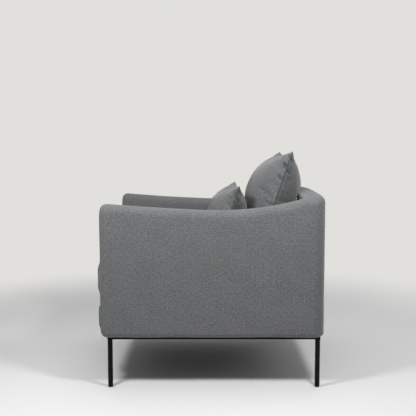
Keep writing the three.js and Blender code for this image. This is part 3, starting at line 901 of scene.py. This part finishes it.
def press_back(co):
    """Holds the cushion's rear off the back's inner face and rounded top, which it rests against."""
    crown = sizes().edge_radius
    face = BACK_INNER - 1.5 * MM
    give = 9 * MM  # the filling gives way gradually round the flattened part
    flare = 2.2  # how fast the cushion may spread back above the rim, for each metre up
    above = co[:, 2] - rim_top(0)
    rise = np.clip(above + crown, 0, crown * 0.999)
    limit = face + crown - np.sqrt(crown**2 - rise**2)
    limit = np.where(above > 0, face + crown + flare * above, limit)
    over = np.maximum(0, co[:, 1] + give - limit)
    co[:, 1] -= over - give * (1 - np.exp(-over / give))
    return co


def build_loose_cushion(name):
    """The back cushion or the lumbar pillow: two panels sewn edge to edge round a filling."""
    size = LOOSE[name]
    piece, seam = knife_edge_cover(f"{name}_casing", size)
    blow_up(piece, 4.0, 30, cap=7 * MM)
    place = np.array(lean_matrix(size))
    co = coordinates(piece) @ place[:3, :3].T + place[:3, 3]
    if name == "back_cushion":
        co = press_back(co)
    set_coordinates(piece, co)
    crease_seam(piece, seam)
    subdivide(piece, 2)
    pucker(piece, co[seam], size["seed"], 1.0, place[:3, 1], 0)
    draw_in_seam(piece, co[seam], co.mean(axis=0), tips=True)
    stand_in(piece, f"{name}_cover", name)


def nearest_on_loop(co, loop):
    """For each point, its distance to a closed line of points and how far round the line that is."""
    loop = np.asarray(loop)
    ends = np.roll(loop, -1, axis=0)
    spans = np.linalg.norm(ends - loop, axis=1)
    starts = np.concatenate([[0.0], np.cumsum(spans)[:-1]])
    best, place = np.full(len(co), 1e9), np.zeros(len(co))
    for a, b, span, start in zip(loop, ends, spans, starts):
        t = np.clip(((co - a) @ (b - a)) / span**2, 0, 1)
        far = np.linalg.norm(co - (a + t[:, None] * (b - a)), axis=1)
        closer = far < best
        best[closer], place[closer] = far[closer], (start + t * span)[closer]
    return best, place


FOLDS = {
    "narrow": {"spacing": 45 * MM, "from_seam": 13 * MM, "reach": 16 * MM, "depth": 5.2 * MM},
    "long": {"spacing": 60 * MM, "from_seam": 30 * MM, "reach": 35 * MM, "depth": 3.6 * MM},
    "gathers": 110 * MM,  # length of the stretches of seam with more or fewer narrow folds
    "shade": 0.75,
}


def pucker(piece, loop, seed, strength, axis, split):
    """Gathers folds that run in from the seam: narrow dents close to it, and softer long ones.

    The panels on the two sides of the seam fold apart from each other. They are told apart by
    how far their normals point along an axis.
    """
    co, out = coordinates(piece), normals(piece)
    far, place = nearest_on_loop(co, loop)
    side = np.where(np.abs(out @ axis) > split if split else out @ axis > 0, 3.0, -3.0)
    slant = place + 0.5 * far * np.sign(side)
    narrow, long = FOLDS["narrow"], FOLDS["long"]

    def along(places, spacing, number):
        return np.array([noise.noise((p / spacing, s, number)) for p, s in zip(places, side)])

    gathered = np.clip(along(place, FOLDS["gathers"], seed + 5) * 2.4 + 0.5, 0, 1)
    dent = np.clip(1 - np.abs(along(slant, narrow["spacing"], seed)) / 0.09, 0, 1) * gathered
    dent *= bell(far, narrow["from_seam"], narrow["reach"]) * np.clip(far / (4 * MM), 0, 1)
    wave = along(slant, long["spacing"], seed + 9) * bell(far, long["from_seam"], long["reach"])
    push = wave * long["depth"] - dent * narrow["depth"]
    set_coordinates(piece, co + out * (push * strength)[:, None])
    # Painted shade: the cloth's colour is darkened in the narrow dents.
    paint_shade(piece, dent * strength * FOLDS["shade"])


def crease_seam(piece, seam):
    """Keeps the seam a sharp line when the cover is subdivided."""
    crease = piece.data.attributes.new("crease_edge", "FLOAT", "EDGE")
    pairs = {frozenset(p) for p in zip(seam, seam[1:] + seam[:1])}
    edges = [frozenset(e.vertices) in pairs for e in piece.data.edges]
    crease.data.foreach_set("value", [1.0 if e else 0.0 for e in edges])
    co = coordinates(piece)[seam]
    turn = np.roll(co, -1, axis=0) + np.roll(co, 1, axis=0) - 2 * co
    tips = np.argsort(np.linalg.norm(turn, axis=1))[-4:]
    corner = piece.data.attributes.new("crease_vert", "FLOAT", "POINT")
    for tip in tips:
        corner.data[seam[tip]].value = 1.0


SEAM_GROOVE = 2.6 * MM  # half the width that a seam draws in
TIP_REACH = 30 * MM  # length over which the groove runs out at a pointed corner


def draw_in_seam(piece, loop, middle, tips=False):
    """Sinks a narrow groove along the seam, where the thread pulls the two panels together.

    The groove runs out at the tips of a knife-edge cushion, which stay pointed.
    """
    co = coordinates(piece)
    far, _ = nearest_on_loop(co, loop)
    inward = middle - co
    inward /= np.linalg.norm(inward, axis=1, keepdims=True)
    groove = bell(far, 0, SEAM_GROOVE) * sizes().seam_depth_and_painted_shade
    if tips:
        reach = np.linalg.norm(loop - middle, axis=1)
        for tip in loop[np.argsort(reach)[-4:]]:
            groove *= np.clip(np.linalg.norm(co - tip, axis=1) / TIP_REACH, 0, 1)
    set_coordinates(piece, co + inward * groove[:, None])
    # Painted shade along the seam, darkening the cloth's colour.
    paint_shade(piece, painted_seam_shade(far))


def painted_seam_shade(far):
    """How much painted shade darkens the cloth at each distance from a seam's thread line."""
    return bell(far, 0, PAINTED_SEAM_SHADE["width"]) * PAINTED_SEAM_SHADE["most"]


def paint_shade(piece, shade):
    """Marks how much painted shade darkens the cloth at each point of a seam or fold, keeping the darker
    mark where two meet.
    """
    if PAINTED_SHADE not in piece.data.attributes:
        piece.data.attributes.new(PAINTED_SHADE, "FLOAT", "POINT")
    store = piece.data.attributes[PAINTED_SHADE].data
    values = np.zeros(len(piece.data.vertices), dtype=np.float32)
    store.foreach_get("value", values)
    store.foreach_set("value", np.maximum(values, shade).astype(np.float32))


# ---------------------------------------------------------------- seat cushion


def build_seat_cushion():
    """A box cushion: top and bottom panels sewn to a boxing that bulges between the two seams."""
    low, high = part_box("seat_cushion_cover")
    low, high = low + Vector((0, 1.6 * MM, 0.5 * MM)), high - Vector((0, 4 * MM, 0))
    least = low - Vector((0.8 * MM, 2 * MM, 0))  # what the cushion may swell to between its arms
    most = high + Vector((0.8 * MM, 1 * MM, 3 * MM))
    piece, seams = box_cover("seat_cushion_casing", low, high)
    blow_up(piece, 3.0, 24, cap=5 * MM)
    co = np.clip(coordinates(piece), least, most)
    set_coordinates(piece, co)
    loops = [co[seam] for seam in seams]
    subdivide(piece, 1)
    for loop in loops:
        pucker(piece, loop, 4.0, 0.35, np.array((0.0, 0.0, 1.0)), 0.5)
        draw_in_seam(piece, loop, np.array((low + high) / 2))
    stand_in(piece, "seat_cushion_cover", "seat_cushion")


def box_cover(name, low, high):
    """A box cushion's cover on an even grid, its corners rounded, and the loops of its two seams."""
    cell, rounding, swell = 12 * MM, 34 * MM, 9 * MM
    edge_radius, edge_drop = 22 * MM, 0.55
    middle, half = (low + high) / 2, (high - low) / 2
    counts = [max(4, round(2 * half[k] / cell)) for k in range(3)]
    number, points, faces, cloth = {}, [], [], []

    def shaped(index):
        u = [2 * index[k] / counts[k] - 1 for k in range(3)]
        p = Vector([u[k] * half[k] for k in range(3)])
        bulge = swell * (1 - u[2] ** 2)
        p.y += (bulge - swell) * (1 if u[1] > 0 else -1) if abs(u[1]) == 1 else 0.0
        flat = Vector([max(0.0, abs(p[k]) - half[k] + rounding) for k in (0, 1)])
        if min(flat) > 0 and flat.length > rounding:
            flat *= rounding / flat.length
            p.x = math.copysign(half.x - rounding + flat.x, p.x)
            p.y = math.copysign(half.y - rounding + flat.y, p.y)
        edge = min(half.x - abs(p.x), half.y - abs(p.y))
        if abs(u[2]) == 1:
            p.z -= math.copysign(quarter_in(edge_radius, edge) * edge_drop, p.z)
        return middle + p

    def point(index):
        if index not in number:
            number[index] = len(points)
            points.append(tuple(shaped(index)))
        return number[index]

    for axis in range(3):
        p, q = [k for k in range(3) if k != axis]
        for side in (0, counts[axis]):
            for i in range(counts[p]):
                for j in range(counts[q]):
                    quad = []
                    for di, dj in ((0, 0), (1, 0), (1, 1), (0, 1)):
                        index = [0, 0, 0]
                        index[axis], index[p], index[q] = side, i + di, j + dj
                        quad.append(tuple(index))
                    if (side > 0) == (axis == 1):
                        quad.reverse()
                    faces.append(tuple(point(c) for c in quad))
                    cloth += [(c[p] * cell, c[q] * cell) for c in quad]
    piece = make_mesh(name, points, faces, cloth, "cloth")
    columns, rows, layers = counts
    seams = [[number[(i, j, k)] for i, j in border(columns, rows)] for k in (0, layers)]
    hold_by_seam(piece, [n for seam in seams for n in seam])
    return piece, seams


# ---------------------------------------------------------------- base


def turned(name, profile, key):
    """A profile of (radius, height) points turned about Z into a closed piece."""
    parts = 40
    points = [(radius * c, radius * s, z) for radius, z in profile for c, s in circle(parts)]
    return make_mesh(name, points, closed_tube(len(profile), parts), None, key)


def place_at(piece, x, y):
    set_coordinates(piece, coordinates(piece) + np.array([x, y, 0]))


# Steps of a profile: how far it stands out from the tube's own radius, and how high.
TUBE_END = ((-1.2 * MM, 0), (-0.4 * MM, 0.3 * MM), (0, 1.2 * MM))  # above the tube's lower end
TUBE_WELD = ((0, -3 * MM), (0.3 * MM, -1.6 * MM), (0.4 * MM, 0))  # below the tube's upper end
GLIDE_FOOT = ((-3.2 * MM, 0), (-1.6 * MM, 0.25 * MM), (-0.7 * MM, 1 * MM), (-0.2 * MM, 2.2 * MM))
GLIDE_COLLAR = ((-0.2 * MM, -0.2 * MM), (-2.4 * MM, 0))  # below the tube's lower end


def profile_at(radius, height, steps):
    return [(radius + out, height + up) for out, up in steps]


def build_legs():
    """The four tube legs, flaring into their welds, and the glides pressed into their ends."""
    for corner in CORNERS:
        low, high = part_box(f"leg_{corner}")
        x, y = (low.x + high.x) / 2, (low.y + high.y) / 2
        r = (high.x - low.x) / 2
        tube = profile_at(r, low.z, TUBE_END)
        tube += [(r, low.z + (high.z - low.z) * t) for t in (0.1, 0.5, 0.9)]
        tube += profile_at(r, high.z, TUBE_WELD)
        piece = turned(f"tube_leg_{corner}", tube, "steel")
        place_at(piece, x, y)
        stand_in(piece, f"leg_{corner}")
        foot = profile_at(r, 0, GLIDE_FOOT) + profile_at(r, low.z, GLIDE_COLLAR)
        glide = turned(f"foot_glide_{corner}", foot, "nylon")
        place_at(glide, x, y)
        stand_in(glide, f"glide_{corner}")


def soften_edges(piece, width):
    """Rounds a frame piece's edges with a bevel, which leaves its own mesh as it is."""
    modifier = piece.modifiers.new("Rounded edges", "BEVEL")
    modifier.width = width
    modifier.segments = 3
    modifier.limit_method = "ANGLE"


def dress_nodes(names, key, rounding=0.0):
    """Gives several CAD nodes one finish, and rounds their edges."""
    for name in names:
        piece = dress_node(name, key)
        if rounding:
            soften_edges(piece, rounding)


def at_each(stem, ends=CORNERS):
    return [f"{stem}_{end}" for end in ends]


def build_base_rails():
    """The welded frame that carries the legs, with its tabs and bolts."""
    dress_nodes(at_each("base_rail", RAILS), "steel", 1.2 * MM)
    dress_nodes(at_each("base_tab"), "steel", 0.6 * MM)
    dress_nodes(at_each("base_bolt") + at_each("insert"), "zinc")


# ---------------------------------------------------------------- hidden parts


def dress_hidden():
    """Finishes what the covers hide: the frame, the webbing, the fillings and the zips."""
    dress_nodes([*at_each("arm_panel", SIDES), "back_panel"], "plywood", 1 * MM)
    dress_nodes(at_each("seat_rail", RAILS), "beech", 1.5 * MM)
    dress_nodes(at_each("corner_block"), "beech")
    straps = at_each("webbing_long", (1, 2, 3)) + at_each("webbing_cross", (1, 2, 3))
    dress_nodes(straps, "webbing")
    dress_node("seat_cushion_core", "foam")
    dress_nodes([f"{name}_fill" for name in LOOSE], "fibre")
    dress_nodes([f"{name}_zip" for name in (*LOOSE, "seat_cushion")], "zip_tape")
    dress_nodes([f"{name}_zip_slider" for name in (*LOOSE, "seat")], "zinc")


# ---------------------------------------------------------------- studio


CAMERA = {"place": (2.718, 0.0, 0.8548), "down": 4.685, "sensor": 36.0, "lens": 57.55}
FLOOR = {"reach": 30.0, "parts": 64, "fade_start": 1.05, "fade_end": 2.3}
SKY = {"least": 0.04, "rise": 0.33}  # light from the horizon and below, and the rest from overhead
AIM = Vector((0, 0, 0.35))  # what the soft boxes point at
LIGHTS = (  # name, power, width and place
    ("key_rear", 11.2, 0.26, (0.98, 0.56, 1.42)),
    ("key_front", 12.6, 0.26, (0.98, -0.72, 1.42)),
    ("top", 13.0, 1.8, (-0.5, -0.1, 2.4)),
    ("rear_fill", 9.0, 1.4, (-1.3, 2.0, 1.3)),
)


def build_camera():
    """Stands level with the armchair's top, looks along -X and tilts down a little."""
    data = bpy.data.cameras.new("camera")
    data.sensor_width = CAMERA["sensor"]
    data.lens = CAMERA["lens"]
    camera = bpy.data.objects.new("camera", data)
    camera.location = CAMERA["place"]
    camera.rotation_euler = (math.radians(90 - CAMERA["down"]), 0, math.radians(90))
    bpy.context.scene.collection.objects.link(camera)
    bpy.context.scene.camera = camera


def build_floor():
    """One round floor, so wide that its edge is never seen."""
    reach, parts = FLOOR["reach"], FLOOR["parts"]
    ring = [(reach * c, reach * s, 0) for c, s in circle(parts)]
    floor = make_mesh("studio_floor", ring, [tuple(range(parts))], None, "floor")


def add_soft_box(name, power, size, place):
    """A square soft box of this size in metres, aimed at the armchair."""
    data = bpy.data.lights.new(name, "AREA")
    data.energy = power
    data.size = size
    light = bpy.data.objects.new(name, data)
    light.location = place
    light.rotation_mode = "QUATERNION"
    light.rotation_quaternion = (AIM - Vector(place)).to_track_quat("-Z", "Y")
    light.visible_camera = False
    bpy.context.scene.collection.objects.link(light)


def build_world():
    """Even backdrop for the camera. The light from it is strongest from straight above."""
    world = bpy.data.worlds.new("studio")
    bpy.context.scene.world = world
    world.use_nodes = True
    tree = world.node_tree
    seen = tree.nodes["Background"]
    seen.inputs["Color"].default_value = colours().backdrop
    height = add_node(tree, "SeparateXYZ", {0: add_node(tree, "TexCoord").outputs["Generated"]})
    up = maths(tree, "MAXIMUM", height.outputs[2], 0.0)
    strength = maths(tree, "MULTIPLY_ADD", up, SKY["rise"], SKY["least"])
    ambient = add_node(tree, "Background", {"Color": (1, 1, 1, 1), "Strength": strength})
    path = add_node(tree, "LightPath")
    mixed = add_node(tree, "MixShader", {0: path.outputs["Is Camera Ray"]})
    tree.links.new(ambient.outputs[0], mixed.inputs[1])
    tree.links.new(seen.outputs[0], mixed.inputs[2])
    tree.links.new(mixed.outputs[0], tree.nodes["World Output"].inputs["Surface"])


def build_lights():
    """Two soft boxes high on the armchair's left, a wide one over it and a weak fill behind it."""
    for light in LIGHTS:
        add_soft_box(*light)
    bpy.context.scene.view_settings.view_transform = "Standard"


# ---------------------------------------------------------------- add-on


class ARMCHAIR_OT_studio(bpy.types.Operator):
    """Sets up the camera, the floor and the lights"""

    bl_idname = "armchair.studio"
    bl_label = "Studio"

    def execute(self, context):
        build_camera()
        build_floor()
        build_world()
        build_lights()
        return {"FINISHED"}


class ARMCHAIR_OT_shell(bpy.types.Operator):
    """Makes the padded sides and back"""

    bl_idname = "armchair.shell"
    bl_label = "Padded shell"

    def execute(self, context):
        build_shell()
        return {"FINISHED"}


class ARMCHAIR_OT_apron(bpy.types.Operator):
    """Makes the padded rail under the front of the seat"""

    bl_idname = "armchair.apron"
    bl_label = "Front apron"

    def execute(self, context):
        build_apron()
        return {"FINISHED"}


class ARMCHAIR_OT_deck(bpy.types.Operator):
    """Makes the flat pad under the seat cushion"""

    bl_idname = "armchair.deck"
    bl_label = "Deck"

    def execute(self, context):
        build_deck()
        return {"FINISHED"}


class ARMCHAIR_OT_seat_cushion(bpy.types.Operator):
    """Makes the box cushion of the seat"""

    bl_idname = "armchair.seat_cushion"
    bl_label = "Seat cushion"

    def execute(self, context):
        build_seat_cushion()
        return {"FINISHED"}


class ARMCHAIR_OT_loose_cushions(bpy.types.Operator):
    """Makes the back cushion and the lumbar pillow"""

    bl_idname = "armchair.loose_cushions"
    bl_label = "Loose cushions"

    def execute(self, context):
        for name in LOOSE:
            build_loose_cushion(name)
        return {"FINISHED"}


class ARMCHAIR_OT_dust_cloth(bpy.types.Operator):
    """Makes the cloth stapled under the seat frame"""

    bl_idname = "armchair.dust_cloth"
    bl_label = "Dust cloth"

    def execute(self, context):
        build_dust_cloth()
        return {"FINISHED"}


class ARMCHAIR_OT_legs(bpy.types.Operator):
    """Makes the tube legs and their glides"""

    bl_idname = "armchair.legs"
    bl_label = "Legs"

    def execute(self, context):
        build_legs()
        return {"FINISHED"}


class ARMCHAIR_OT_base_rails(bpy.types.Operator):
    """Finishes the steel rails, tabs and bolts of the base"""

    bl_idname = "armchair.base_rails"
    bl_label = "Base rails"

    def execute(self, context):
        build_base_rails()
        return {"FINISHED"}


class ARMCHAIR_OT_inner_parts(bpy.types.Operator):
    """Finishes the frame, webbing, fillings and zips inside the armchair"""

    bl_idname = "armchair.inner_parts"
    bl_label = "Inner parts"

    def execute(self, context):
        dress_hidden()
        return {"FINISHED"}


OPERATORS = (
    ARMCHAIR_OT_studio,
    ARMCHAIR_OT_shell,
    ARMCHAIR_OT_apron,
    ARMCHAIR_OT_deck,
    ARMCHAIR_OT_seat_cushion,
    ARMCHAIR_OT_loose_cushions,
    ARMCHAIR_OT_dust_cloth,
    ARMCHAIR_OT_legs,
    ARMCHAIR_OT_base_rails,
    ARMCHAIR_OT_inner_parts,
)


class ARMCHAIR_PT_panel(bpy.types.Panel):
    """Lists the armchair's pieces in the 3D view's sidebar."""

    bl_label = "Armchair"
    bl_space_type = "VIEW_3D"
    bl_region_type = "UI"
    bl_category = "Armchair"

    def draw(self, context):
        for made in OPERATORS:
            self.layout.operator(made.bl_idname)


CLASSES = (ArmchairSizes, ArmchairColours, *OPERATORS, ARMCHAIR_PT_panel)


def register():
    for made in CLASSES:
        bpy.utils.register_class(made)
    bpy.types.Scene.armchair_sizes = bpy.props.PointerProperty(type=ArmchairSizes)
    bpy.types.Scene.armchair_colours = bpy.props.PointerProperty(type=ArmchairColours)


def unregister():
    del bpy.types.Scene.armchair_colours
    del bpy.types.Scene.armchair_sizes
    for made in reversed(CLASSES):
        bpy.utils.unregister_class(made)


def main():
    register()
    for made in OPERATORS:
        getattr(bpy.ops.armchair, made.bl_idname.split(".")[1])()


if __name__ == "__main__":
    main()
